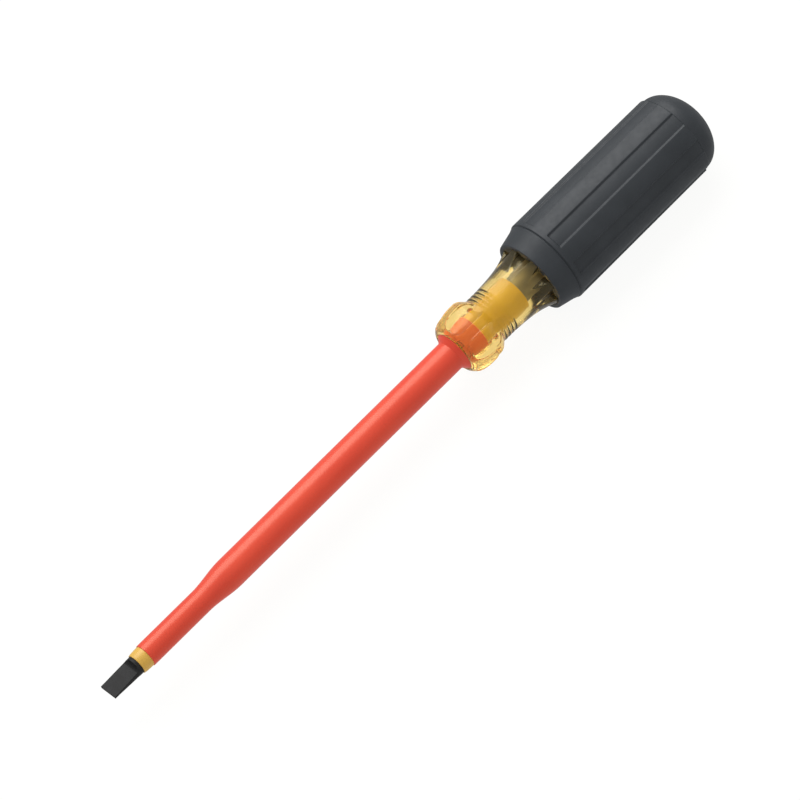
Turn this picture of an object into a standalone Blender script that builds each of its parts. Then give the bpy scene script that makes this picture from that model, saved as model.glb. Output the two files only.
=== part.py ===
"""Insulated slotted screwdriver: a steel shank in two moulded sleeves, a clear core handle and a rubber grip.

World X runs along the tool from the middle of the blade tip to the butt. The blade's broad faces
look along +Z and -Z. Everything that repeats round the axis is counted from +Z.
"""

import math

import bmesh
import bpy
from mathutils import Matrix

MM = 0.001
SIDES = 48  # facets round every turned piece, so that the layers' facets line up

SEAT_GAP = 0.3 * MM  # between pieces that are moulded on to each other
LAYER_GAP = 0.1 * MM  # between the thin layers round the shank

# Steel shank
SHANK_RADIUS = 3.72 * MM
SHANK_END = 258 * MM
TIP_THICKNESS = 1.1 * MM
TIP_LAND = 2.0 * MM  # length of the parallel faces behind the tip
TAPER_END, TAPER_THICKNESS = 11.4 * MM, 2.5 * MM  # the ground faces widen evenly up to here
GRIND_END = 13.2 * MM  # where the shoulder behind the ground faces meets the round shank
WING_FRONT, WING_REAR = 226 * MM, 244 * MM
WING_WIDTH, WING_THICKNESS = 11 * MM, 4.4 * MM

# Inner sleeve
INNER_FRONT, INNER_END = 14.5 * MM, 211.1 * MM
INNER_RADIUS = 4.82 * MM
INNER_TIP_RADIUS = 4.36 * MM  # the short length that shows in front of the outer sleeve
INNER_NECK_RADIUS = 4.25 * MM  # under the thin front of the outer sleeve

# Outer sleeve
OUTER_FRONT, OUTER_END = 19 * MM, 189.1 * MM
THIN_RADIUS, THIN_END = 4.65 * MM, 47 * MM
OUTER_RADIUS, SWELL_END = 6.0 * MM, 62.5 * MM
FLANGE_RADIUS = 8.15 * MM
FLANGE_START, FLANGE_FRONT, FLANGE_REAR = 177.1 * MM, 179.1 * MM, 179.9 * MM
FLANGE_TAIL = 182.4 * MM  # where the cone behind the flange meets the sleeve

# Core handle
CORE_FRONT, CORE_END = 179.0 * MM, 297.5 * MM
BOLSTER_RADIUS = 12.95 * MM
BOLSTER_RISE_END, BOLSTER_FALL_START = 187.6 * MM, 189.7 * MM
BOLSTER_RISE_POWER, BOLSTER_FALL_POWER = 1.13, 1.35  # 1 gives the rise the shape of an ellipse
NECK_RADIUS, NECK_START = 10.0 * MM, 195.1 * MM
GROOVE_COUNT, GROOVE_FIRST, GROOVE_PITCH = 4, 195.15 * MM, 1.8 * MM
GROOVE_WIDTH, GROOVE_DEPTH = 1.1 * MM, 0.4 * MM
FLARE_START = 201 * MM
FLARE_TAPER, FLARE_POWER = 0.97 * MM, 3.4  # an even taper, and a curl that grows towards the grip
CORE_RADIUS = 13.5 * MM
CORE_END_ROUND = 4 * MM
SCALLOP_COUNT, SCALLOP_FRONT, SCALLOP_REAR = 6, 180.1 * MM, 195.0 * MM
SCALLOP_HALF_ANGLE, SCALLOP_DEPTH = math.radians(21), 1.7 * MM

# Eight flutes in the core and eight raised panels on the grip share one spacing
PANEL_COUNT = 8
FLUTE_CUTTER_RADIUS, FLUTE_DEPTH = 4 * MM, 2.6 * MM

# Rubber grip
GRIP_FRONT, GRIP_END = 219.3 * MM, 307.8 * MM
COLLAR_FRONT_RADIUS, COLLAR_REAR_RADIUS = 15.2 * MM, 16.68 * MM
COLLAR_END, RING_FRONT = 225.8 * MM, 227.85 * MM
PANEL_FRONT, PANEL_REAR = 229.4 * MM, 295.9 * MM
PANEL_FRONT_RADIUS, PANEL_REAR_RADIUS = 17.65 * MM, 17.36 * MM
CHANNEL_RADIUS, CHANNEL_ANGLE = 16.95 * MM, math.radians(20.5)
DOME_START, DOME_RADIUS = 296.5 * MM, 16.75 * MM

CLEARANCE = 2 * MM  # how far a cutter reaches past what it cuts


def clear_scene():
    for leftover in list(bpy.data.objects):
        bpy.data.objects.remove(leftover)


def new_collection(name):
    collection = bpy.data.collections.new(name)
    bpy.context.scene.collection.children.link(collection)
    return collection


def new_object(name, mesh, collection):
    obj = bpy.data.objects.new(name, mesh)
    collection.objects.link(obj)
    return obj


def along_x():
    """Turns a shape made along local Z so that it lies along world X, its local -X side up."""
    return Matrix.Rotation(math.radians(90), 4, "Y")


def about_x(index, count):
    """The turn about the tool's axis of copy number index out of count."""
    return Matrix.Rotation(2 * math.pi * index / count, 4, "X")


def turned(name, profile, collection, hollow=False):
    """A solid of revolution about X from (x, radius) points that run from the rear to the front."""
    mesh = bpy.data.meshes.new(name)
    vertices = [(radius, 0, x) for x, radius in profile]
    edges = [(i, i + 1) for i in range(len(vertices) - 1)]
    if hollow:
        edges.append((len(vertices) - 1, 0))
    mesh.from_pydata(vertices, edges, [])
    obj = new_object(name, mesh, collection)
    obj.matrix_world = along_x()
    screw = obj.modifiers.new("turn", "SCREW")
    screw.steps = SIDES
    screw.render_steps = SIDES
    screw.use_merge_vertices = True
    screw.merge_threshold = 1e-6
    return obj


def prism(name, outline, height, collection):
    """A closed solid: an outline in local XY, extruded up local Z."""
    shape = bmesh.new()
    face = shape.faces.new([shape.verts.new((x, y, 0)) for x, y in outline])
    raised = bmesh.ops.extrude_face_region(shape, geom=[face])["geom"]
    lifted = [item for item in raised if isinstance(item, bmesh.types.BMVert)]
    bmesh.ops.translate(shape, verts=lifted, vec=(0, 0, height))
    bmesh.ops.recalc_face_normals(shape, faces=shape.faces)
    mesh = bpy.data.meshes.new(name)
    shape.to_mesh(mesh)
    shape.free()
    return new_object(name, mesh, collection)


def rod(name, radius, length, sides, collection):
    """A cylinder along local Z that starts at its origin."""
    shape = bmesh.new()
    bmesh.ops.create_cone(
        shape,
        cap_ends=True,
        segments=sides,
        radius1=radius,
        radius2=radius,
        depth=length,
        matrix=Matrix.Translation((0, 0, length / 2)),
    )
    mesh = bpy.data.meshes.new(name)
    shape.to_mesh(mesh)
    shape.free()
    return new_object(name, mesh, collection)


def box(name, size, centre, collection):
    shape = bmesh.new()
    placed = Matrix.Translation(centre) @ Matrix.Diagonal((*size, 1))
    bmesh.ops.create_cube(shape, size=1, matrix=placed)
    mesh = bpy.data.meshes.new(name)
    shape.to_mesh(mesh)
    shape.free()
    return new_object(name, mesh, collection)


def combine(target, other, operation):
    boolean = target.modifiers.new(other.name, "BOOLEAN")
    boolean.operation = operation
    boolean.solver = "EXACT"
    boolean.object = other


def settle(obj):
    """Turns a shape's modifiers and placement into a plain mesh that can be shaped point by point."""
    bpy.context.view_layer.update()
    graph = bpy.context.evaluated_depsgraph_get()
    mesh = bpy.data.meshes.new_from_object(obj.evaluated_get(graph))
    mesh.transform(obj.matrix_world)
    obj.modifiers.clear()
    obj.data = mesh
    obj.matrix_world = Matrix.Identity(4)


def hide(cutters):
    for cutter in cutters.objects:
        cutter.hide_render = True
        cutter.display_type = "WIRE"


def blend(start, end, steps, value_start, value_end):
    """Points of a smooth S-shaped change of radius between two stations along X."""
    points = []
    for step in range(steps + 1):
        share = step / steps
        eased = (1 - math.cos(math.pi * share)) / 2
        points.append(
            (start + share * (end - start), value_start + eased * (value_end - value_start))
        )
    return points


def quarter(centre, radii, steps):
    """A quarter ellipse in (x, radius), from its crown to its tip on the side that radii[0] points to."""
    points = []
    for step in range(steps + 1):
        angle = math.pi / 2 * step / steps
        points.append(
            (centre[0] + radii[0] * math.sin(angle), centre[1] + radii[1] * math.cos(angle))
        )
    return points


# ---------------------------------------------------------------- steel shank


def grind_cutter(cutters):
    """What grinding takes from one side of the blade: a land, an even taper, then a curved shoulder."""
    half = TIP_THICKNESS / 2
    shoulder = TAPER_THICKNESS / 2
    past = SHANK_RADIUS + LAYER_GAP  # the curve ends just outside the round shank
    top = SHANK_RADIUS + CLEARANCE
    outline = [
        (-CLEARANCE, half),
        (TIP_LAND, half),
        *quarter((TAPER_END, past), (GRIND_END - TAPER_END, shoulder - past), 6),
        (GRIND_END, top),
        (-CLEARANCE, top),
    ]
    cutter = prism("grind_cutter", outline, 2 * SHANK_RADIUS + 2 * CLEARANCE, cutters)
    upright = Matrix.Rotation(math.radians(90), 4, "X")  # local Y becomes world Z
    centred = Matrix.Translation((0, SHANK_RADIUS + CLEARANCE, 0))
    cutter.matrix_world = centred @ upright
    return cutter


def make_shank(parts, cutters):
    bevel = 0.6 * MM
    shank = turned(
        "steel_shank",
        [
            (SHANK_END, 0),
            (SHANK_END, SHANK_RADIUS - bevel),
            (SHANK_END - bevel, SHANK_RADIUS),
            (0, SHANK_RADIUS),
            (0, 0),
        ],
        parts,
    )
    upper = grind_cutter(cutters)
    lower = new_object("grind_cutter_lower", upper.data, cutters)
    lower.matrix_world = about_x(1, 2) @ upper.matrix_world
    wings = box(
        "wings",
        (WING_REAR - WING_FRONT, WING_WIDTH, WING_THICKNESS),
        ((WING_FRONT + WING_REAR) / 2, 0, 0),
        cutters,
    )
    combine(shank, upper, "DIFFERENCE")
    combine(shank, lower, "DIFFERENCE")
    combine(shank, wings, "UNION")
    return shank


# ---------------------------------------------------------------- sleeves


def make_inner_insulation(parts):
    front_bevel = 0.5 * MM
    bore = SHANK_RADIUS + LAYER_GAP
    step = OUTER_FRONT - LAYER_GAP
    return turned(
        "inner_insulation",
        [
            (INNER_END, INNER_RADIUS),
            *blend(SWELL_END, THIN_END, 4, INNER_RADIUS, INNER_NECK_RADIUS),
            (step, INNER_NECK_RADIUS),
            (step, INNER_TIP_RADIUS),
            (INNER_FRONT + 2 * front_bevel, INNER_TIP_RADIUS),
            (INNER_FRONT, INNER_TIP_RADIUS - front_bevel / 2),
            (INNER_FRONT, bore),
            (INNER_END, bore),
        ],
        parts,
        hollow=True,
    )


def make_outer_insulation(parts):
    neck_bore = INNER_NECK_RADIUS + LAYER_GAP
    bore = INNER_RADIUS + LAYER_GAP
    return turned(
        "outer_insulation",
        [
            (OUTER_END, OUTER_RADIUS),
            (FLANGE_TAIL, OUTER_RADIUS),
            (FLANGE_REAR, FLANGE_RADIUS),
            (FLANGE_FRONT, FLANGE_RADIUS),
            (FLANGE_START, OUTER_RADIUS),
            *blend(SWELL_END, THIN_END, 8, OUTER_RADIUS, THIN_RADIUS),
            (OUTER_FRONT, THIN_RADIUS),
            (OUTER_FRONT, neck_bore),
            *blend(THIN_END, SWELL_END, 4, neck_bore, bore),
            (OUTER_END, bore),
        ],
        parts,
        hollow=True,
    )


# ---------------------------------------------------------------- core handle


def neck_radius(x):
    """Straight behind the bolster, then widening towards the grip's opening."""
    share = max(0, (x - FLARE_START) / (GRIP_FRONT - FLARE_START))
    curl = CORE_RADIUS - NECK_RADIUS - FLARE_TAPER
    return NECK_RADIUS + FLARE_TAPER * share + curl * share**FLARE_POWER


def neck_outline():
    """Neck and flare, from the grip's opening to the front, with fine grooves behind the bolster."""
    flare_steps = 8
    grooves_end = GROOVE_FIRST + (GROOVE_COUNT - 1) * GROOVE_PITCH + GROOVE_WIDTH
    points = []
    for step in range(flare_steps):
        x = GRIP_FRONT + (grooves_end - GRIP_FRONT) * step / flare_steps
        points.append((x, neck_radius(x)))
    for groove in reversed(range(GROOVE_COUNT)):
        front = GROOVE_FIRST + groove * GROOVE_PITCH
        for share, depth in ((1, 0), (0.7, GROOVE_DEPTH), (0.3, GROOVE_DEPTH), (0, 0)):
            x = front + share * GROOVE_WIDTH
            points.append((x, neck_radius(x) - depth))
    return points


def bolster_fall(steps):
    """The bolster's rear in (x, radius), from its foot at the neck, a tight bend, to its crown."""
    points = []
    for step in range(1, steps + 1):
        share = step / steps
        height = math.sin(math.pi / 2 * share) ** BOLSTER_FALL_POWER
        x = NECK_START + share * (BOLSTER_FALL_START - NECK_START)
        points.append((x, NECK_RADIUS + height * (BOLSTER_RADIUS - NECK_RADIUS)))
    return points


def bolster_rise(steps):
    """The bolster's rounded front in (x, radius), from its crown to just above the mouth."""
    lip = FLANGE_RADIUS + SEAT_GAP
    points = []
    for step in range(steps):
        angle = math.pi / 2 * step / steps
        height = math.cos(angle) ** BOLSTER_RISE_POWER
        x = BOLSTER_RISE_END + (CORE_FRONT - BOLSTER_RISE_END) * math.sin(angle)
        points.append((x, lip + height * (BOLSTER_RADIUS - lip)))
    return points


def core_bore():
    """The stepped hole that the shank and its sleeves are moulded into, from its mouth to its end."""
    flange = FLANGE_RADIUS + SEAT_GAP
    outer = OUTER_RADIUS + SEAT_GAP
    inner = INNER_RADIUS + SEAT_GAP
    shank = SHANK_RADIUS + SEAT_GAP
    return [
        (CORE_FRONT, flange),
        (FLANGE_REAR + SEAT_GAP, flange),
        (FLANGE_TAIL + SEAT_GAP, outer),
        (OUTER_END + SEAT_GAP, outer),
        (OUTER_END + SEAT_GAP, inner),
        (INNER_END + SEAT_GAP, inner),
        (INNER_END + SEAT_GAP, shank),
        (SHANK_END + SEAT_GAP, shank),
        (SHANK_END + SEAT_GAP, 0),
    ]


def press_scallops(core):
    """Presses long scallops into the bolster's surface, with lands left between them."""
    middle, reach = (SCALLOP_FRONT + SCALLOP_REAR) / 2, (SCALLOP_REAR - SCALLOP_FRONT) / 2
    spacing = 2 * math.pi / SCALLOP_COUNT
    for vertex in core.data.vertices:
        x, y, z = vertex.co
        radius = math.hypot(y, z)
        off = abs(x - middle) / reach
        if off >= 1 or radius < FLANGE_RADIUS + 2 * SEAT_GAP:
            continue
        close = math.sqrt(1 - off**8)
        turn = (math.atan2(y, z) + spacing / 2) % spacing - spacing / 2
        share = turn / (SCALLOP_HALF_ANGLE * close)
        depth = SCALLOP_DEPTH * close * max(0, 1 - share**2)
        floor = NECK_RADIUS if x > BOLSTER_FALL_START else 0
        shrink = max(radius - depth, floor) / radius
        vertex.co = (x, y * shrink, z * shrink)


def flute_cutter(index, shrink, name, cutters):
    """A rod that mills one flute. The shrunken ones leave the grip's ribs clear of the flutes."""
    radius = FLUTE_CUTTER_RADIUS - shrink
    front = NECK_START
    cutter = rod(
        f"{name}_{index + 1}", radius, CORE_END + CLEARANCE - front, 24, cutters
    )
    height = CORE_RADIUS - FLUTE_DEPTH + FLUTE_CUTTER_RADIUS
    place = Matrix.Translation((front, 0, height)) @ along_x()
    cutter.matrix_world = about_x(index, PANEL_COUNT) @ place
    return cutter


def make_core_handle(parts, cutters):
    rear_round = quarter(
        (CORE_END - CORE_END_ROUND, CORE_RADIUS - CORE_END_ROUND),
        (CORE_END_ROUND, CORE_END_ROUND),
        4,
    )
    core = turned(
        "core_handle",
        [
            (CORE_END, 0),
            *reversed(rear_round),
            *neck_outline(),
            *bolster_fall(7),
            *bolster_rise(10),
            *core_bore(),
        ],
        parts,
    )
    settle(core)
    press_scallops(core)
    for index in range(PANEL_COUNT):
        combine(core, flute_cutter(index, 0, "flute_cutter", cutters), "DIFFERENCE")
    slot = box(
        "wing_slot",
        (
            WING_REAR - WING_FRONT + 2 * SEAT_GAP,
            WING_WIDTH + 2 * SEAT_GAP,
            WING_THICKNESS + 2 * SEAT_GAP,
        ),
        ((WING_FRONT + WING_REAR) / 2, 0, 0),
        cutters,
    )
    combine(core, slot, "DIFFERENCE")
    return core


# ---------------------------------------------------------------- rubber grip


def core_cavity(cutters):
    """The hollow in the grip: the core's fluted body, larger all round by the gap."""
    radius = CORE_RADIUS + SEAT_GAP
    end = CORE_END + SEAT_GAP
    front = GRIP_FRONT - CLEARANCE
    rear_round = quarter(
        (end - CORE_END_ROUND, radius - CORE_END_ROUND), (CORE_END_ROUND, CORE_END_ROUND), 4
    )
    cavity = turned(
        "core_cavity",
        [(end, 0), *reversed(rear_round), (front, radius), (front, 0)],
        cutters,
    )
    for index in range(PANEL_COUNT):
        rib = flute_cutter(index, SEAT_GAP, "rib_former", cutters)
        combine(cavity, rib, "DIFFERENCE")
    return cavity


def channel_cutter(index, cutters):
    """A slice of a ring, which sinks one of the channels between the raised panels."""
    steps = 4
    angles = [CHANNEL_ANGLE * (step / steps - 0.5) for step in range(steps + 1)]
    outer = PANEL_FRONT_RADIUS + CLEARANCE
    floor = [(-CHANNEL_RADIUS * math.cos(a), CHANNEL_RADIUS * math.sin(a)) for a in angles]
    rim = [(-outer * math.cos(a), outer * math.sin(a)) for a in reversed(angles)]
    length = DOME_START + CLEARANCE - PANEL_FRONT
    cutter = prism(f"channel_cutter_{index + 1}", [*floor, *rim], length, cutters)
    half_step = about_x(0.5, PANEL_COUNT)
    place = Matrix.Translation((PANEL_FRONT, 0, 0)) @ along_x()
    cutter.matrix_world = about_x(index, PANEL_COUNT) @ half_step @ place
    return cutter


def make_rubber_grip(parts, cutters):
    dome = quarter((DOME_START, 0), (GRIP_END - DOME_START, DOME_RADIUS), 9)
    groove = 0.35 * MM
    grip = turned(
        "rubber_grip",
        [
            *reversed(dome),
            (PANEL_REAR, PANEL_REAR_RADIUS),
            (RING_FRONT, PANEL_FRONT_RADIUS),
            (RING_FRONT - groove, PANEL_FRONT_RADIUS - 2 * groove),
            (RING_FRONT - 2 * groove, PANEL_FRONT_RADIUS - groove),
            (COLLAR_END, COLLAR_REAR_RADIUS),
            (GRIP_FRONT + groove, COLLAR_FRONT_RADIUS),
            (GRIP_FRONT, COLLAR_FRONT_RADIUS - groove),
            (GRIP_FRONT, 0),
        ],
        parts,
    )
    combine(grip, core_cavity(cutters), "DIFFERENCE")
    for index in range(PANEL_COUNT):
        combine(grip, channel_cutter(index, cutters), "DIFFERENCE")
    return grip


# ---------------------------------------------------------------- materials and finish


def give_material(obj, colour, roughness, metallic=0.0, transmission=0.0):
    material = bpy.data.materials.new(obj.name)
    material.use_nodes = True
    shader = material.node_tree.nodes["Principled BSDF"]
    shader.inputs["Base Color"].default_value = (*colour, 1)
    shader.inputs["Roughness"].default_value = roughness
    shader.inputs["Metallic"].default_value = metallic
    shader.inputs["Transmission Weight"].default_value = transmission
    obj.data.materials.append(material)


def finish(obj):
    """Settles a piece into its final mesh, of which only the round faces are shaded smooth."""
    settle(obj)
    obj.data.name = obj.name
    obj.data.shade_smooth()
    obj.data.set_sharp_from_angle(angle=math.radians(30))


def main():
    clear_scene()
    parts = new_collection("insulated_screwdriver")
    cutters = new_collection("cutters")
    shank = make_shank(parts, cutters)
    inner = make_inner_insulation(parts)
    outer = make_outer_insulation(parts)
    core = make_core_handle(parts, cutters)
    grip = make_rubber_grip(parts, cutters)
    give_material(shank, (0.045, 0.046, 0.05), roughness=0.45, metallic=0.9)
    give_material(inner, (0.60, 0.36, 0.06), roughness=0.4)
    give_material(outer, (0.70, 0.075, 0.03), roughness=0.38)
    give_material(core, (0.85, 0.60, 0.16), roughness=0.05, transmission=0.9)
    give_material(grip, (0.026, 0.03, 0.035), roughness=0.55)
    hide(cutters)
    for obj in parts.objects:
        finish(obj)


main()
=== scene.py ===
"""Looks of the insulated screwdriver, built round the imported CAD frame. Lengths are in metres."""

import math

import bmesh
import bpy
import numpy as np
from mathutils import Matrix, Vector


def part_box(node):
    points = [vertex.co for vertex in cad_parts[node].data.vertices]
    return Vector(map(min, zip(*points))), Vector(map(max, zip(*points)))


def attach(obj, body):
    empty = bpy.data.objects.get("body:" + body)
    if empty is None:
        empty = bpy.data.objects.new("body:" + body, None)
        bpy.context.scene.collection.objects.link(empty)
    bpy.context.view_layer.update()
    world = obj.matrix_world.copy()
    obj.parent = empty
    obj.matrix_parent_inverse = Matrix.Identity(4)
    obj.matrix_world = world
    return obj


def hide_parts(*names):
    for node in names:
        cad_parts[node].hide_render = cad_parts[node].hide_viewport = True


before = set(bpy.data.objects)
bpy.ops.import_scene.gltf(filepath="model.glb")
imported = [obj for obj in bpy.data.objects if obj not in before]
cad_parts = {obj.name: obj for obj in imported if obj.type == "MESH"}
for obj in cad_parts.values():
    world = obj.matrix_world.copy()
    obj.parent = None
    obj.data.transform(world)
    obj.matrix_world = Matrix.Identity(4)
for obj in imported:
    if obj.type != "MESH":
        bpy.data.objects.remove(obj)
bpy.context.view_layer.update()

MM = 0.001
NOTHING = 1e-7  # a radius or a distance below this counts as zero

# ---------------------------------------------------------------- places, read from the frame

SHANK_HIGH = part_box("steel_shank")[1]
INNER_LOW, INNER_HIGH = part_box("inner_insulation")
OUTER_LOW, OUTER_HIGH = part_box("outer_insulation")
CORE_LOW, CORE_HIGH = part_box("core_handle")
GRIP_LOW, GRIP_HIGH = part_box("rubber_grip")

SHANK_END = SHANK_HIGH.x
INNER_FRONT, INNER_END = INNER_LOW.x, INNER_HIGH.x
INNER_RADIUS = INNER_HIGH.z
OUTER_FRONT, OUTER_END = OUTER_LOW.x, OUTER_HIGH.x
FLANGE_RADIUS = OUTER_HIGH.z
CORE_FRONT, CORE_END = CORE_LOW.x, CORE_HIGH.x
GRIP_FRONT, GRIP_END = GRIP_LOW.x, GRIP_HIGH.x
GRIP_RADIUS = GRIP_HIGH.z

# Sizes inside the nodes' boxes, as the CAD has them
SHANK_RADIUS = 3.72 * MM
TIP_THICKNESS, TIP_LAND = 1.1 * MM, 2.0 * MM
TAPER_END, TAPER_THICKNESS, GRIND_END = 11.4 * MM, 2.5 * MM, 13.2 * MM
WING_FRONT, WING_REAR, WING_HALF_WIDTH = 226 * MM, 244 * MM, 5.5 * MM
SHANK_BEVEL = 0.6 * MM
INNER_TIP_RADIUS, INNER_NECK_RADIUS = 4.36 * MM, 4.25 * MM
THIN_RADIUS, THIN_END = 4.65 * MM, 47 * MM
SLEEVE_RADIUS, SWELL_END = 6.0 * MM, 62.5 * MM
FLANGE_START, FLANGE_FRONT, FLANGE_REAR = 177.1 * MM, 179.1 * MM, 179.9 * MM
FLANGE_TAIL = 182.4 * MM
BOLSTER_RADIUS = 12.95 * MM
BOLSTER_RISE_END, BOLSTER_FALL_START = 187.6 * MM, 189.7 * MM
BOLSTER_RISE_POWER, BOLSTER_FALL_POWER = 1.13, 1.35  # 1 gives the rise the shape of an ellipse
NECK_RADIUS, NECK_START = 10.0 * MM, 195.1 * MM
GROOVE_COUNT, GROOVE_FIRST, GROOVE_PITCH = 4, 195.15 * MM, 1.8 * MM
GROOVE_WIDTH, GROOVE_DEPTH = 1.1 * MM, 0.4 * MM
FLARE_START, FLARE_TAPER, FLARE_POWER = 201 * MM, 0.97 * MM, 3.4
CORE_RADIUS, CORE_END_ROUND = 13.5 * MM, 4 * MM
SCALLOP_COUNT, SCALLOP_FRONT, SCALLOP_REAR = 6, 180.1 * MM, 195.0 * MM
SCALLOP_HALF_ANGLE, SCALLOP_DEPTH = math.radians(21), 1.7 * MM
PANEL_COUNT = 8
FLUTE_WHEEL, FLUTE_DEPTH = 4 * MM, 2.6 * MM
COLLAR_FRONT_RADIUS, COLLAR_REAR_RADIUS = 15.2 * MM, 16.68 * MM
COLLAR_END, RING_FRONT = 225.8 * MM, 227.85 * MM
PANEL_FRONT, PANEL_REAR = 229.4 * MM, 295.9 * MM
PANEL_REAR_RADIUS = 17.36 * MM
CHANNEL_RADIUS, CHANNEL_HALF_ANGLE = 16.95 * MM, math.radians(10.25)
DOME_START, DOME_RADIUS = 296.5 * MM, 16.75 * MM

# Sizes that only this model has
BLADE_EDGE = 0.07 * MM
WING_FLATTENING, WING_POWER = 0.42, 6
SHANK_GAP, SLEEVE_GAP, FLANGE_GAP, GRIP_GAP = 0.03 * MM, 0.02 * MM, 0.03 * MM, 0.08 * MM
GROOVE_POWER = 1.2
SCALLOP_END_POWER, SCALLOP_EDGE_ROUND, FLUTE_EDGE_ROUND = 6, 0.1 * MM, 0.08 * MM
SCALLOP_BEAD_HEIGHT, SCALLOP_BEAD_WIDTH = 0.32 * MM, 0.18 * MM
PANEL_EDGE_ANGLE, CHANNEL_SLOPE = math.radians(1.6), math.radians(1.35)
CHANNEL_FRONT_SLOPE, CHANNEL_REAR_SINK = 0.5 * MM, 0.15 * MM
RING_BOTTOM, RING_WIDTH = 0.35 * MM, 0.75 * MM
RING_DEPTH, RING_SHOULDER = 0.7 * MM, 0.45 * MM

BODY = "root"


# ---------------------------------------------------------------- shape tools


def fillet(points, radius, steps=4):
    """Rounds every inner corner of an open (x, radius) outline by up to the given radius."""
    gentle = math.radians(12)  # a turn below this stays as it is
    reach = 0.45  # the share of a side that one corner may use
    rounded = [points[0]]
    for before, corner, after in zip(points, points[1:], points[2:]):
        a, b, c = (np.array(p, float) for p in (before, corner, after))
        to_a, to_c = a - b, c - b
        len_a, len_c = np.linalg.norm(to_a), np.linalg.norm(to_c)
        turn = math.pi - math.acos(np.clip(to_a @ to_c / (len_a * len_c), -1, 1))
        if turn < gentle:
            rounded.append(corner)
            continue
        cut = min(radius * math.tan(turn / 2), reach * len_a, reach * len_c)
        start, end = b + to_a * cut / len_a, b + to_c * cut / len_c
        for step in range(steps + 1):
            t = step / steps
            point = (1 - t) ** 2 * start + 2 * t * (1 - t) * b + t**2 * end
            rounded.append(tuple(point))
    rounded.append(points[-1])
    return rounded


def blend(start, end, steps, value_start, value_end):
    """Points of a smooth S-shaped change of radius between two stations along X."""
    shares = np.linspace(0, 1, steps + 1)
    eased = (1 - np.cos(np.pi * shares)) / 2
    return list(
        zip(start + shares * (end - start), value_start + eased * (value_end - value_start))
    )


def bulge(foot, crown, steps, foot_radius, crown_radius):
    """Points from the foot of a bulge to its crown: a tight bend at the foot, then a rounded shoulder."""
    shares = np.linspace(0, 1, steps + 1)
    height = np.sin(shares * math.pi / 2) ** BOLSTER_FALL_POWER
    return list(
        zip(foot + shares * (crown - foot), foot_radius + height * (crown_radius - foot_radius))
    )


def quarter(centre, radii, steps):
    """A quarter ellipse in (x, radius), from its crown to its tip on the side that radii[0] points to."""
    angles = np.linspace(0, math.pi / 2, steps + 1)
    return list(
        zip(centre[0] + radii[0] * np.sin(angles), centre[1] + radii[1] * np.cos(angles))
    )


def even_angles(count):
    return np.arange(count) * 2 * math.pi / count


def smooth_min(a, b, softness):
    """The lower of two values, with the corner where they cross rounded off."""
    mix = np.clip(0.5 + 0.5 * (b - a) / softness, 0, 1)
    return b + (a - b) * mix - softness * mix * (1 - mix)


def link(name, mesh):
    piece = bpy.data.objects.new(name, mesh)
    bpy.context.scene.collection.objects.link(piece)
    return piece


def lathe(name, outline, angles, shape=None, loop=False, sharp=35):
    """A closed surface round X. The outline is (x, radius) points from rear to front.

    Angles are counted from +Z towards -Y. shape(x, radius, angles) may change the radii of a ring.
    A loop outline makes a tube, and any other outline has to start and end on the axis.
    """
    build = bmesh.new()
    rings = []
    for x, radius in outline:
        if radius < NOTHING:
            rings.append([build.verts.new((x, 0, 0))])
            continue
        radii = np.full(len(angles), radius)
        if shape:
            radii = shape(x, radius, angles)
        rings.append(
            [
                build.verts.new((x, -r * math.sin(a), r * math.cos(a)))
                for r, a in zip(radii, angles)
            ]
        )
    pairs = list(zip(rings, rings[1:]))
    if loop:
        pairs.append((rings[-1], rings[0]))
    for rear, front in pairs:
        for i in range(len(angles)):
            j = (i + 1) % len(angles)
            corners = [
                rear[i % len(rear)],
                rear[j % len(rear)],
                front[j % len(front)],
                front[i % len(front)],
            ]
            build.faces.new(list(dict.fromkeys(corners)))
    bmesh.ops.recalc_face_normals(build, faces=build.faces)
    mesh = bpy.data.meshes.new(name)
    build.to_mesh(mesh)
    build.free()
    mesh.shade_smooth()
    mesh.set_sharp_from_angle(angle=math.radians(sharp))
    return link(name, mesh)


def nearest_copy(angles, count, first=0.0):
    """Each angle's distance from the nearest of count places spread evenly from first."""
    step = 2 * math.pi / count
    return (np.asarray(angles) - first + step / 2) % step - step / 2


def mill(angles, centre, wheel):
    """The radius that a milling rod of radius wheel, lying along X at centre, leaves at each angle."""
    reach = wheel**2 - (centre * np.sin(angles)) ** 2
    far = np.full(np.shape(angles), 1.0)  # a metre out, where nothing is cut
    inside = (reach > 0) & (np.cos(angles) > 0)
    far[inside] = centre * np.cos(angles[inside]) - np.sqrt(reach[inside])
    return far


# ---------------------------------------------------------------- steel shank


def grind_height(x):
    """Half the blade's thickness at x: a flat land, an even taper, then a curved shoulder."""
    half, shoulder = TIP_THICKNESS / 2, TAPER_THICKNESS / 2
    if x <= TIP_LAND:
        return half
    if x <= TAPER_END:
        return half + (shoulder - half) * (x - TIP_LAND) / (TAPER_END - TIP_LAND)
    share = min(1, (x - TAPER_END) / (GRIND_END - TAPER_END))
    return SHANK_RADIUS - (SHANK_RADIUS - shoulder) * math.sqrt(1 - share**2)


def blade_section(x, inset, face_steps, side_steps):
    """One ring of the blade: across the upper face, down one side, back across, and up the other."""
    half = grind_height(x)
    edge = math.asin(min(1, half / SHANK_RADIUS))
    radius = SHANK_RADIUS - inset
    half -= inset * (half < SHANK_RADIUS)
    width = radius * math.cos(edge)
    upper = [(-width + 2 * width * i / face_steps, half) for i in range(face_steps)]
    side = [
        (radius * math.cos(a), radius * math.sin(a) if abs(a) < edge else math.copysign(half, a))
        for a in np.linspace(edge, -edge, side_steps + 1)[:-1]
    ]
    ring = upper + side
    return ring + [(-y, -z) for y, z in ring]


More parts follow.
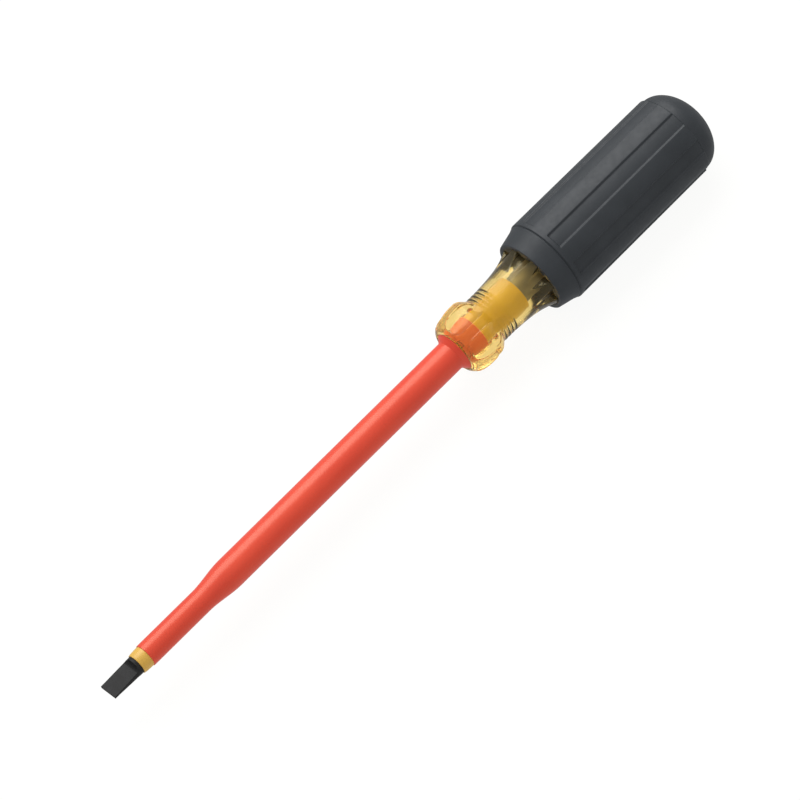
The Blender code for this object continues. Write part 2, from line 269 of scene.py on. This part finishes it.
def make_shank():
    face_steps, side_steps = 24, 40
    ground = np.concatenate(
        [
            np.linspace(BLADE_EDGE, TIP_LAND, 5),
            np.linspace(TIP_LAND, TAPER_END, 16)[1:],
            TAPER_END + (GRIND_END - TAPER_END) * np.sin(np.linspace(0, math.pi / 2, 24)[1:]),
        ]
    )
    stations = [(0.0, BLADE_EDGE), *((x, 0.0) for x in ground)]
    build = bmesh.new()
    rings = [
        [build.verts.new((x, y, z)) for y, z in blade_section(x, inset, face_steps, side_steps)]
        for x, inset in stations
    ]
    round_x = np.linspace(GRIND_END + 0.5 * MM, SHANK_END - SHANK_BEVEL, 60)
    tail = [*((x, SHANK_RADIUS) for x in round_x), (SHANK_END, SHANK_RADIUS - SHANK_BEVEL)]
    wing_centre, wing_reach = (WING_FRONT + WING_REAR) / 2, (WING_REAR - WING_FRONT) / 2
    template = np.array(blade_section(GRIND_END, 0, face_steps, side_steps)) / SHANK_RADIUS
    for x, radius in tail:
        wing = max(0, 1 - (abs(x - wing_centre) / wing_reach) ** WING_POWER)
        wide = 1 + (WING_HALF_WIDTH / SHANK_RADIUS - 1) * wing
        flat = 1 - WING_FLATTENING * wing
        rings.append(
            [build.verts.new((x, y * radius * wide, z * radius * flat)) for y, z in template]
        )
    for front, rear in zip(rings, rings[1:]):
        for i in range(len(front)):
            j = (i + 1) % len(front)
            build.faces.new((front[i], front[j], rear[j], rear[i]))
    build.faces.new(list(reversed(rings[0])))
    build.faces.new(rings[-1])
    bmesh.ops.remove_doubles(build, verts=build.verts, dist=NOTHING)
    bmesh.ops.recalc_face_normals(build, faces=build.faces)
    mesh = bpy.data.meshes.new("shank_and_blade")
    build.to_mesh(mesh)
    build.free()
    mesh.shade_smooth()
    mesh.set_sharp_from_angle(angle=math.radians(18))
    return link("shank_and_blade", mesh)


# ---------------------------------------------------------------- sleeves


def make_inner_sleeve():
    bore = SHANK_RADIUS + SHANK_GAP
    step = OUTER_FRONT + 0.2 * MM
    outline = [
        (INNER_END, bore),
        (INNER_END, INNER_RADIUS),
        *blend(SWELL_END, THIN_END, 8, INNER_RADIUS, INNER_NECK_RADIUS),
        (step, INNER_NECK_RADIUS),
        (step, INNER_TIP_RADIUS),
        (INNER_FRONT + 2.6 * MM, INNER_TIP_RADIUS - 0.02 * MM),
        (INNER_FRONT + 0.9 * MM, INNER_TIP_RADIUS - 0.12 * MM),
        (INNER_FRONT, INNER_TIP_RADIUS - 0.3 * MM),
        (INNER_FRONT, bore),
    ]
    return lathe("inner_sleeve", fillet(outline, 0.2 * MM), even_angles(128), loop=True)


def make_outer_sleeve():
    bore = INNER_RADIUS + SLEEVE_GAP
    neck_bore = INNER_NECK_RADIUS + SLEEVE_GAP
    front = fillet(
        [
            (THIN_END, THIN_RADIUS),
            (OUTER_FRONT, THIN_RADIUS),
            (OUTER_FRONT, neck_bore),
            (THIN_END, neck_bore),
        ],
        0.12 * MM,
    )
    flange = fillet(
        [
            (OUTER_END, bore),
            (OUTER_END, SLEEVE_RADIUS),
            (FLANGE_TAIL, SLEEVE_RADIUS),
            (FLANGE_REAR, FLANGE_RADIUS),
            (FLANGE_FRONT, FLANGE_RADIUS),
            (FLANGE_START, SLEEVE_RADIUS),
            (FLANGE_START - 8 * MM, SLEEVE_RADIUS),
        ],
        0.35 * MM,
    )
    outline = [
        *flange,
        *blend(SWELL_END, THIN_END, 24, SLEEVE_RADIUS, THIN_RADIUS)[:-1],
        *front,
        *blend(THIN_END, SWELL_END, 8, neck_bore, bore)[1:],
    ]
    return lathe("outer_sleeve", outline, even_angles(160), loop=True)


# ---------------------------------------------------------------- clear core


def neck_radius(x):
    share = np.clip((x - FLARE_START) / (GRIP_FRONT - FLARE_START), 0, 1)
    curl = CORE_RADIUS - NECK_RADIUS - FLARE_TAPER
    return NECK_RADIUS + FLARE_TAPER * share + curl * share**FLARE_POWER


def core_outline():
    """The turned core. It has no bore: the sleeves and the shank lie embedded in the clear plastic."""
    lip = FLANGE_RADIUS + 0.3 * MM
    round_start = CORE_END - CORE_END_ROUND
    rear = quarter((round_start, CORE_RADIUS - CORE_END_ROUND), (CORE_END_ROUND, CORE_END_ROUND), 6)
    body = [(x, CORE_RADIUS) for x in np.linspace(round_start, GRIP_FRONT, 40)[1:]]
    grooves_end = GROOVE_FIRST + (GROOVE_COUNT - 1) * GROOVE_PITCH + GROOVE_WIDTH
    flare = [(x, neck_radius(x)) for x in np.linspace(GRIP_FRONT, grooves_end, 60)[1:-1]]
    grooves = []
    for groove in reversed(range(GROOVE_COUNT)):
        centre = GROOVE_FIRST + groove * GROOVE_PITCH + GROOVE_WIDTH / 2
        for offset in np.linspace(0.5, -0.5, 13):
            x = centre + offset * GROOVE_WIDTH
            scoop = math.cos(math.pi * offset) if abs(offset) < 0.5 else 0
            grooves.append((x, neck_radius(x) - GROOVE_DEPTH * scoop**GROOVE_POWER))
    fall = bulge(NECK_START, BOLSTER_FALL_START, 30, NECK_RADIUS, BOLSTER_RADIUS)
    crown_x = np.linspace(BOLSTER_FALL_START, BOLSTER_RISE_END, 14)[1:-1]
    crown = [(x, BOLSTER_RADIUS) for x in crown_x]
    turns = np.linspace(0, math.pi / 2, 37)
    rise_x = BOLSTER_RISE_END + (CORE_FRONT - BOLSTER_RISE_END) * np.sin(turns)
    rise = list(zip(rise_x, lip + (BOLSTER_RADIUS - lip) * np.cos(turns) ** BOLSTER_RISE_POWER))
    seat = [
        (CORE_FRONT + 0.1 * MM, FLANGE_RADIUS + 0.12 * MM),
        (FLANGE_REAR + FLANGE_GAP, FLANGE_RADIUS + FLANGE_GAP),
        (FLANGE_TAIL + FLANGE_GAP, SLEEVE_RADIUS - FLANGE_GAP),
        (FLANGE_TAIL + FLANGE_GAP, 0.0),
    ]
    return [(CORE_END, 0.0), *reversed(rear), *body, *flare, *grooves, *fall, *crown, *rise, *seat]


def core_radii(x, radius, angles):
    """Scallops round the bolster and flutes along the body, cut from the turned outline."""
    radii = np.full(len(angles), radius)
    middle, reach = (SCALLOP_FRONT + SCALLOP_REAR) / 2, (SCALLOP_REAR - SCALLOP_FRONT) / 2
    off = abs(x - middle) / reach
    if off < 1:
        close = (1 - off**SCALLOP_END_POWER) ** 0.5
        share = nearest_copy(angles, SCALLOP_COUNT) / (SCALLOP_HALF_ANGLE * close)
        scoop = SCALLOP_DEPTH * close * (1 - share**2)
        bead = SCALLOP_BEAD_HEIGHT * close**4 * np.exp(-((scoop / SCALLOP_BEAD_WIDTH) ** 2))
        floor = NECK_RADIUS if x > BOLSTER_FALL_START else 0
        radii = np.maximum(smooth_min(radii, radii - scoop, SCALLOP_EDGE_ROUND) + bead, floor)
    if x > FLARE_START:
        centre = CORE_RADIUS - FLUTE_DEPTH + FLUTE_WHEEL
        cut = mill(nearest_copy(angles, PANEL_COUNT), centre, FLUTE_WHEEL)
        radii = smooth_min(radii, cut, FLUTE_EDGE_ROUND)
    return radii


def make_core():
    return lathe("clear_core", core_outline(), even_angles(420), core_radii, sharp=50)


# ---------------------------------------------------------------- rubber grip


def grip_angles():
    """Angles round the grip, close together where the panels have their edges."""
    step = 2 * math.pi / PANEL_COUNT
    edge = step / 2 - CHANNEL_HALF_ANGLE
    around_edge = PANEL_EDGE_ANGLE * np.linspace(-0.75, 0.75, 6)
    sector = np.concatenate(
        [
            np.linspace(-edge + PANEL_EDGE_ANGLE, edge - PANEL_EDGE_ANGLE, 13),
            edge + around_edge,
            np.linspace(edge + PANEL_EDGE_ANGLE, step - edge - PANEL_EDGE_ANGLE, 11),
            step - edge + around_edge,
        ]
    )
    return np.concatenate([sector + i * step for i in range(PANEL_COUNT)])


def smooth_step(low, high, value):
    share = np.clip((value - low) / (high - low), 0, 1)
    return share * share * (3 - 2 * share)


def panel_radius(x):
    """The radius over the panels, which shrinks a little towards the butt."""
    length = PANEL_REAR - RING_FRONT
    return PANEL_REAR_RADIUS + (GRIP_RADIUS - PANEL_REAR_RADIUS) * (PANEL_REAR - x) / length


def grip_radii(x, radius, angles):
    """Sinks the channels between the raised panels of the grip's outer surface."""
    if radius < CHANNEL_RADIUS or not PANEL_FRONT < x < DOME_START + 1 * MM:
        return np.full(len(angles), radius)
    step = 2 * math.pi / PANEL_COUNT
    off = np.abs(nearest_copy(angles, PANEL_COUNT, step / 2))
    foot, brink = CHANNEL_HALF_ANGLE - CHANNEL_SLOPE, CHANNEL_HALF_ANGLE + CHANNEL_SLOPE
    inside = 1 - smooth_step(foot, brink, off)
    inside *= smooth_step(PANEL_FRONT, PANEL_FRONT + CHANNEL_FRONT_SLOPE, x)
    taper = (x - PANEL_FRONT) / (PANEL_REAR - PANEL_FRONT)
    floor = CHANNEL_RADIUS - CHANNEL_REAR_SINK * taper
    return radius - np.maximum(0, radius - floor) * inside


def make_grip():
    dome = quarter((DOME_START, 0), (GRIP_END - DOME_START, DOME_RADIUS), 40)
    bore = CORE_RADIUS + GRIP_GAP
    shoulder = fillet(
        [
            dome[1],
            (PANEL_REAR + 0.25 * MM, DOME_RADIUS + 0.05 * MM),
            (PANEL_REAR, PANEL_REAR_RADIUS),
            (PANEL_REAR - 4 * MM, PANEL_REAR_RADIUS + 0.01 * MM),
        ],
        0.3 * MM,
    )
    body_x = [
        *np.linspace(PANEL_REAR - 6 * MM, PANEL_FRONT + 2 * MM, 24),
        *np.linspace(PANEL_FRONT + 1 * MM, PANEL_FRONT - 0.1 * MM, 10),
    ]
    body = [(x, panel_radius(x)) for x in body_x]
    collar = fillet(
        [
            body[-1],
            (RING_FRONT, GRIP_RADIUS),
            (RING_FRONT - RING_BOTTOM, GRIP_RADIUS - RING_DEPTH),
            (RING_FRONT - RING_WIDTH, GRIP_RADIUS - RING_SHOULDER),
            (COLLAR_END, COLLAR_REAR_RADIUS),
            (GRIP_FRONT, COLLAR_FRONT_RADIUS),
            (GRIP_FRONT, bore),
            (GRIP_FRONT + 2 * MM, bore),
        ],
        0.4 * MM,
    )
    cavity_end = CORE_END + GRIP_GAP
    round_start = cavity_end - CORE_END_ROUND
    cavity = [
        *((x, bore) for x in np.linspace(GRIP_FRONT + 2 * MM, round_start, 30)[1:-1]),
        *quarter((round_start, bore - CORE_END_ROUND), (CORE_END_ROUND, CORE_END_ROUND), 6),
        (cavity_end, 0.0),
    ]
    outline = [*reversed(dome[2:]), *shoulder, *body, *collar[1:], *cavity]
    return lathe("cushion_grip", outline, grip_angles(), grip_shape, sharp=40)


def grip_shape(x, radius, angles):
    """The outer surface has channels, and the bore has ribs that fill the core's flutes."""
    outside_bore, behind_core = CORE_RADIUS + 0.1 * MM, CORE_END + 1 * MM
    if radius > outside_bore or x > behind_core:
        return grip_radii(x, radius, angles)
    centre = CORE_RADIUS - FLUTE_DEPTH + FLUTE_WHEEL
    cut = mill(nearest_copy(angles, PANEL_COUNT), centre, FLUTE_WHEEL - GRIP_GAP)
    return smooth_min(np.full(len(angles), radius), cut, FLUTE_EDGE_ROUND)


# ---------------------------------------------------------------- materials


def new_material(name):
    material = bpy.data.materials.new(name)
    material.use_nodes = True
    tree = material.node_tree
    return material, tree, tree.nodes["Principled BSDF"]


def object_mm(tree, stretch=(1, 1, 1)):
    """Places in the object's own frame, in millimetres, pulled out along each axis by a factor."""
    place = tree.nodes.new("ShaderNodeTexCoord")
    scale = tree.nodes.new("ShaderNodeMapping")
    scale.inputs["Scale"].default_value = [1 / (MM * factor) for factor in stretch]
    tree.links.new(place.outputs["Object"], scale.inputs["Vector"])
    return scale.outputs["Vector"]


def noise(tree, size, detail=3, stretch=(1, 1, 1)):
    """Noise from 0 to 1 whose blotches measure about size, in millimetres."""
    texture = tree.nodes.new("ShaderNodeTexNoise")
    texture.inputs["Scale"].default_value = 1 / size
    texture.inputs["Detail"].default_value = detail
    tree.links.new(object_mm(tree, stretch), texture.inputs["Vector"])
    return texture.outputs["Fac"]


def spread(tree, value, low, high, start=0.35, end=0.65):
    """Maps the middle of a noise on to the range from low to high."""
    remap = tree.nodes.new("ShaderNodeMapRange")
    remap.inputs["From Min"].default_value = start
    remap.inputs["From Max"].default_value = end
    remap.inputs["To Min"].default_value = low
    remap.inputs["To Max"].default_value = high
    tree.links.new(value, remap.inputs["Value"])
    return remap.outputs["Result"]


def mix_colour(tree, share, first, second):
    """A colour between two others, each of which is a plain colour or another node's output."""
    mix = tree.nodes.new("ShaderNodeMix")
    mix.data_type = "RGBA"
    tree.links.new(share, mix.inputs[0])
    for socket, colour in ((mix.inputs[6], first), (mix.inputs[7], second)):
        if isinstance(colour, tuple):
            socket.default_value = (*colour, 1)
        else:
            tree.links.new(colour, socket)
    return mix.outputs[2]


def relief(tree, height, depth, below=None):
    """A normal for a surface relief of the given depth. Reliefs can be stacked."""
    bump = tree.nodes.new("ShaderNodeBump")
    bump.inputs["Strength"].default_value = 1
    bump.inputs["Distance"].default_value = depth
    tree.links.new(height, bump.inputs["Height"])
    if below:
        tree.links.new(below, bump.inputs["Normal"])
    return bump.outputs["Normal"]


def along(tree, start, end):
    """Rises from 0 to 1 along the tool, between two stations in metres."""
    split = tree.nodes.new("ShaderNodeSeparateXYZ")
    tree.links.new(object_mm(tree), split.inputs["Vector"])
    return spread(tree, split.outputs["X"], 0, 1, start / MM, end / MM)


def moulded_plastic(name, colour, deep, painted_light_inside, roughness, gloss_tint):
    """Satin plastic with faint flow marks, fine orange peel and uneven gloss.

    The length inside the clear handle is a brighter copy of the colour: painted light, not a change of
    colour.
    """
    material, tree, shader = new_material(name)
    flow = spread(tree, noise(tree, 6, 4, (3, 1, 1)), 0, 1)
    outside = mix_colour(tree, flow, colour, deep)
    # painted light: this mask gives the length inside the clear handle a brighter copy of the colour
    inside = along(tree, FLANGE_REAR, FLANGE_REAR + 0.5 * MM)
    tree.links.new(mix_colour(tree, inside, outside, painted_light_inside), shader.inputs["Base Color"])
    polish = spread(tree, noise(tree, 1.8, 5, (2, 1, 1)), roughness - 0.04, roughness + 0.05)
    tree.links.new(polish, shader.inputs["Roughness"])
    peel = relief(tree, noise(tree, 0.45, 2), 0.004 * MM)
    waves = relief(tree, noise(tree, 5, 2, (2.5, 1, 1)), 0.02 * MM, peel)
    tree.links.new(waves, shader.inputs["Normal"])
    shader.inputs["Specular Tint"].default_value = (*gloss_tint, 1)
    shader.inputs["Coat Weight"].default_value = 0.38
    shader.inputs["Coat Roughness"].default_value = 0.25
    return material


def black_oxide():
    """Blackened steel with patchy oxide and grinding lines. The length behind the sleeves is bright."""
    material, tree, shader = new_material("black_oxide")
    patches = spread(tree, noise(tree, 2.2, 5), 0, 1)
    lines = noise(tree, 0.12, 2, (1, 30, 30))
    oxide = mix_colour(tree, patches, (0.010, 0.010, 0.0105), (0.018, 0.0175, 0.0175))
    bare = along(tree, OUTER_END, OUTER_END + 1 * MM)
    tree.links.new(mix_colour(tree, bare, oxide, (0.36, 0.34, 0.3)), shader.inputs["Base Color"])
    tree.links.new(bare, shader.inputs["Metallic"])
    tree.links.new(spread(tree, patches, 0.5, 0.62, 0, 1), shader.inputs["Roughness"])
    grind = relief(tree, lines, 0.006 * MM)
    pits = relief(tree, noise(tree, 0.3, 3), 0.006 * MM, grind)
    tree.links.new(pits, shader.inputs["Normal"])
    shader.inputs["Specular IOR Level"].default_value = 0.25
    return material


def amber():
    """Clear amber acetate, a little wavy from the mould, with a polish that is not quite even."""
    material, tree, shader = new_material("amber")
    shader.inputs["Base Color"].default_value = (0.955, 0.78, 0.38, 1)
    shader.inputs["Transmission Weight"].default_value = 0.975
    shader.inputs["IOR"].default_value = 1.475
    shader.inputs["Specular Tint"].default_value = (1, 0.86, 0.45, 1)
    shader.inputs["Coat Weight"].default_value = 0.22
    shader.inputs["Coat Roughness"].default_value = 0.04
    tree.links.new(spread(tree, noise(tree, 3, 4), 0.1, 0.17), shader.inputs["Roughness"])
    waves = relief(tree, noise(tree, 2.2, 2, (2, 1, 1)), 0.012 * MM)
    streaks = relief(tree, noise(tree, 1.1, 1, (14, 1, 1)), 0.05 * MM, waves)
    scuffs = relief(tree, noise(tree, 0.25, 3, (1, 6, 6)), 0.0008 * MM, streaks)
    tree.links.new(scuffs, shader.inputs["Normal"])
    ribs = relief(tree, noise(tree, 0.9, 1, (16, 1, 1)), 0.2 * MM)
    tree.links.new(ribs, shader.inputs["Coat Normal"])
    absorb = tree.nodes.new("ShaderNodeVolumeAbsorption")
    absorb.inputs["Color"].default_value = (0.88, 0.70, 0.08, 1)
    absorb.inputs["Density"].default_value = 36
    output = tree.nodes["Material Output"]
    tree.links.new(absorb.outputs["Volume"], output.inputs["Volume"])
    return material


def rubber():
    """Dull black rubber with a fine grain, dust in places and a sheen at grazing angles."""
    material, tree, shader = new_material("rubber")
    dust = spread(tree, noise(tree, 9, 6), 0, 1, 0.4, 0.75)
    colour = mix_colour(tree, dust, (0.0200, 0.0240, 0.0285), (0.0270, 0.0315, 0.0370))
    tree.links.new(colour, shader.inputs["Base Color"])
    polish = spread(tree, noise(tree, 2.5, 4), 0.48, 0.56)
    tree.links.new(polish, shader.inputs["Roughness"])
    grain = relief(tree, noise(tree, 0.22, 3), 0.02 * MM)
    waves = relief(tree, noise(tree, 4, 2), 0.012 * MM, grain)
    tree.links.new(waves, shader.inputs["Normal"])
    shader.inputs["Specular IOR Level"].default_value = 0.42
    return material


def dress(piece, material, node):
    piece.data.materials.append(material)
    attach(piece, BODY)
    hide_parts(node)


# ---------------------------------------------------------------- camera, light and floor


def add_camera():
    """A long lens that looks down from slightly towards the tip, with the tool rising to the right."""
    tilt, roll = math.radians(16), math.radians(33)
    slope = math.radians(44.55)
    distance, focus_x, shift = 2.6, 0.15186, 1.35
    toward = Vector(
        (
            -math.sin(tilt),
            -math.cos(tilt) * math.sin(roll),
            math.cos(tilt) * math.cos(roll),
        )
    )
    axis = (Vector((1, 0, 0)) - toward * toward.x).normalized()
    across = axis.cross(toward)
    right = axis * math.cos(slope) + across * math.sin(slope)
    up = axis * math.sin(slope) - across * math.cos(slope)
    data = bpy.data.cameras.new("camera")
    data.sensor_width = 36
    data.lens = 325.9
    data.clip_end = 50
    camera = bpy.data.objects.new("camera", data)
    bpy.context.scene.collection.objects.link(camera)
    place = Vector((focus_x, 0, 0)) + toward * distance - across * shift * MM
    turn = Matrix((right, up, toward)).transposed()
    camera.matrix_world = Matrix.Translation(place) @ turn.to_4x4()
    bpy.context.scene.camera = camera


def area_light(name, direction, distance, size, radiance, target=(0.16, 0, 0)):
    """A rectangular softbox that faces the target. Its radiance is in units of white at full light."""
    data = bpy.data.lights.new(name, "AREA")
    data.shape = "RECTANGLE"
    data.size, data.size_y = size
    data.energy = radiance * math.pi * size[0] * size[1]
    lamp = bpy.data.objects.new(name, data)
    bpy.context.scene.collection.objects.link(lamp)
    toward = Vector(direction).normalized()
    side = Vector((1, 0, 0))
    side = (side - toward * side.dot(toward)).normalized()
    turn = Matrix((side, toward.cross(side), toward)).transposed()
    lamp.matrix_world = Matrix.Translation(Vector(target) + toward * distance) @ turn.to_4x4()


def add_floor():
    mesh = bpy.data.meshes.new("floor")
    build = bmesh.new()
    bmesh.ops.create_grid(build, x_segments=1, y_segments=1, size=4)
    build.to_mesh(mesh)
    build.free()
    floor = link("floor", mesh)
    floor.location = (0.15, 0, GRIP_LOW.z - 0.2 * MM)
    material, _, shader = new_material("floor")
    shader.inputs["Base Color"].default_value = (0.08, 0.08, 0.08, 1)
    shader.inputs["Roughness"].default_value = 0.9
    shader.inputs["Specular IOR Level"].default_value = 0
    shader.inputs["Emission Color"].default_value = (1, 1, 0.99, 1)
    shader.inputs["Emission Strength"].default_value = 0.93
    floor.data.materials.append(material)
    floor.visible_glossy = False  # the tool mirrors the studio instead of the bright floor


def add_world():
    """A white studio, darkest round the horizon and brightest overhead."""
    world = bpy.data.worlds.new("studio")
    bpy.context.scene.world = world
    world.use_nodes = True
    tree = world.node_tree
    place = tree.nodes.new("ShaderNodeTexCoord")
    split = tree.nodes.new("ShaderNodeSeparateXYZ")
    tree.links.new(place.outputs["Generated"], split.inputs["Vector"])
    glow = spread(tree, split.outputs["Z"], low=0.46, high=0.74, start=0.1, end=0.95)
    tree.links.new(glow, tree.nodes["Background"].inputs["Strength"])
    tree.nodes["Background"].inputs["Color"].default_value = (1, 1, 1, 1)


def let_light_through_clear_plastic():
    """Light is trapped in the clear handle for many reflections before it finds its way out."""
    paths = bpy.context.scene.cycles
    paths.max_bounces = 32
    paths.glossy_bounces = 24
    paths.transmission_bounces = 32


add_camera()
add_world()
add_floor()
area_light("softbox", direction=(0.25, 0.5, 0.83), distance=1.0, size=(1.3, 0.85), radiance=3.2)
bpy.context.scene.view_settings.view_transform = "Standard"
let_light_through_clear_plastic()

orange = moulded_plastic(
    "orange",
    colour=(0.715, 0.053, 0.025),
    deep=(0.685, 0.045, 0.022),
    # painted light: a brighter copy of the orange for the length inside the clear handle
    painted_light_inside=(1.0, 0.18, 0.035),
    roughness=0.38,
    gloss_tint=(1, 0.8, 0.5),
)
ochre = moulded_plastic(
    "ochre",
    colour=(0.68, 0.405, 0.062),
    deep=(0.64, 0.37, 0.055),
    # painted light: a brighter copy of the ochre for the length inside the clear handle
    painted_light_inside=(1.0, 0.68, 0.04),
    roughness=0.42,
    gloss_tint=(1, 0.9, 0.75),
)
dress(make_shank(), black_oxide(), "steel_shank")
dress(make_inner_sleeve(), ochre, "inner_insulation")
dress(make_outer_sleeve(), orange, "outer_insulation")
dress(make_core(), amber(), "core_handle")
dress(make_grip(), rubber(), "rubber_grip")
